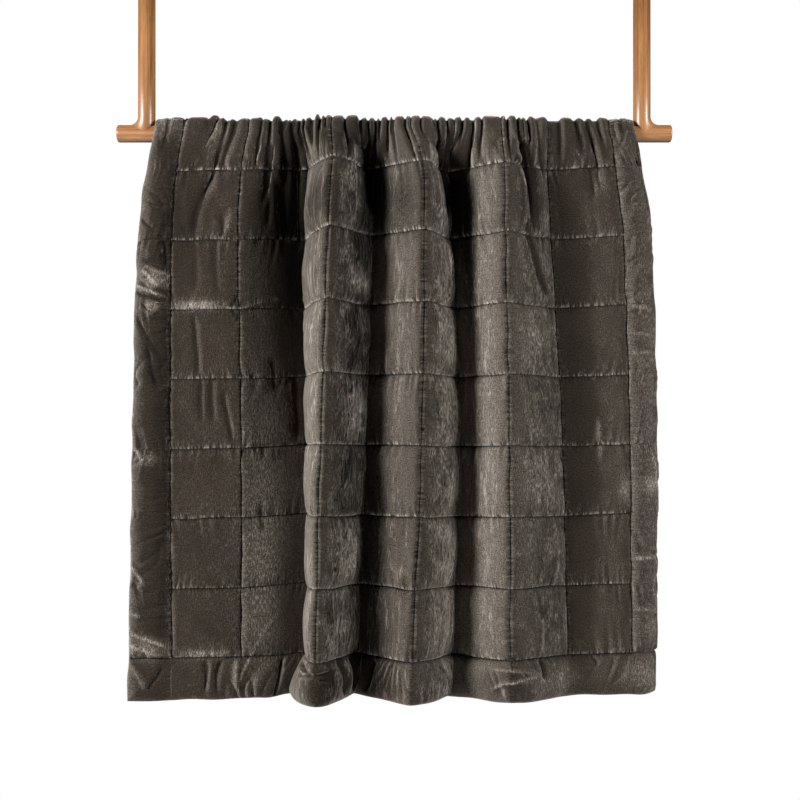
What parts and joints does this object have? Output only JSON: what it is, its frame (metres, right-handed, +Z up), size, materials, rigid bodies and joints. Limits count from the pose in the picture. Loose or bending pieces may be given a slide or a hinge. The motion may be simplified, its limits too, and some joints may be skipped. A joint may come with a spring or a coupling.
{
  "type": "quilted throw blanket on a wooden hanging rail",
  "caption": "Square-quilted velvet throw with a wide padded border, draped in soft folds over a round wooden rail that hangs by its posts.",
  "frame": {"origin": "midway between the flat tops of the two posts, in the plane of the ceiling or beam that the rail hangs from", "axes": "+X along the rail to the right as seen from the front, +Y from the long front fall of the throw to its short back fall, +Z up"},
  "size_m": [1, 0.2362, 1.2779],
  "materials": {
    "velvet": "crushed velvet, quilted, charcoal taupe",
    "oak": "oiled oak, satin"
  },
  "bodies": {
    "root": {"quilted_panel": "velvet", "border_left": "velvet", "border_right": "velvet", "border_front": "velvet", "border_back": "velvet", "rail_bar": "oak", "rail_post_left": "oak", "rail_post_right": "oak"}
  },
  "joints": []
}
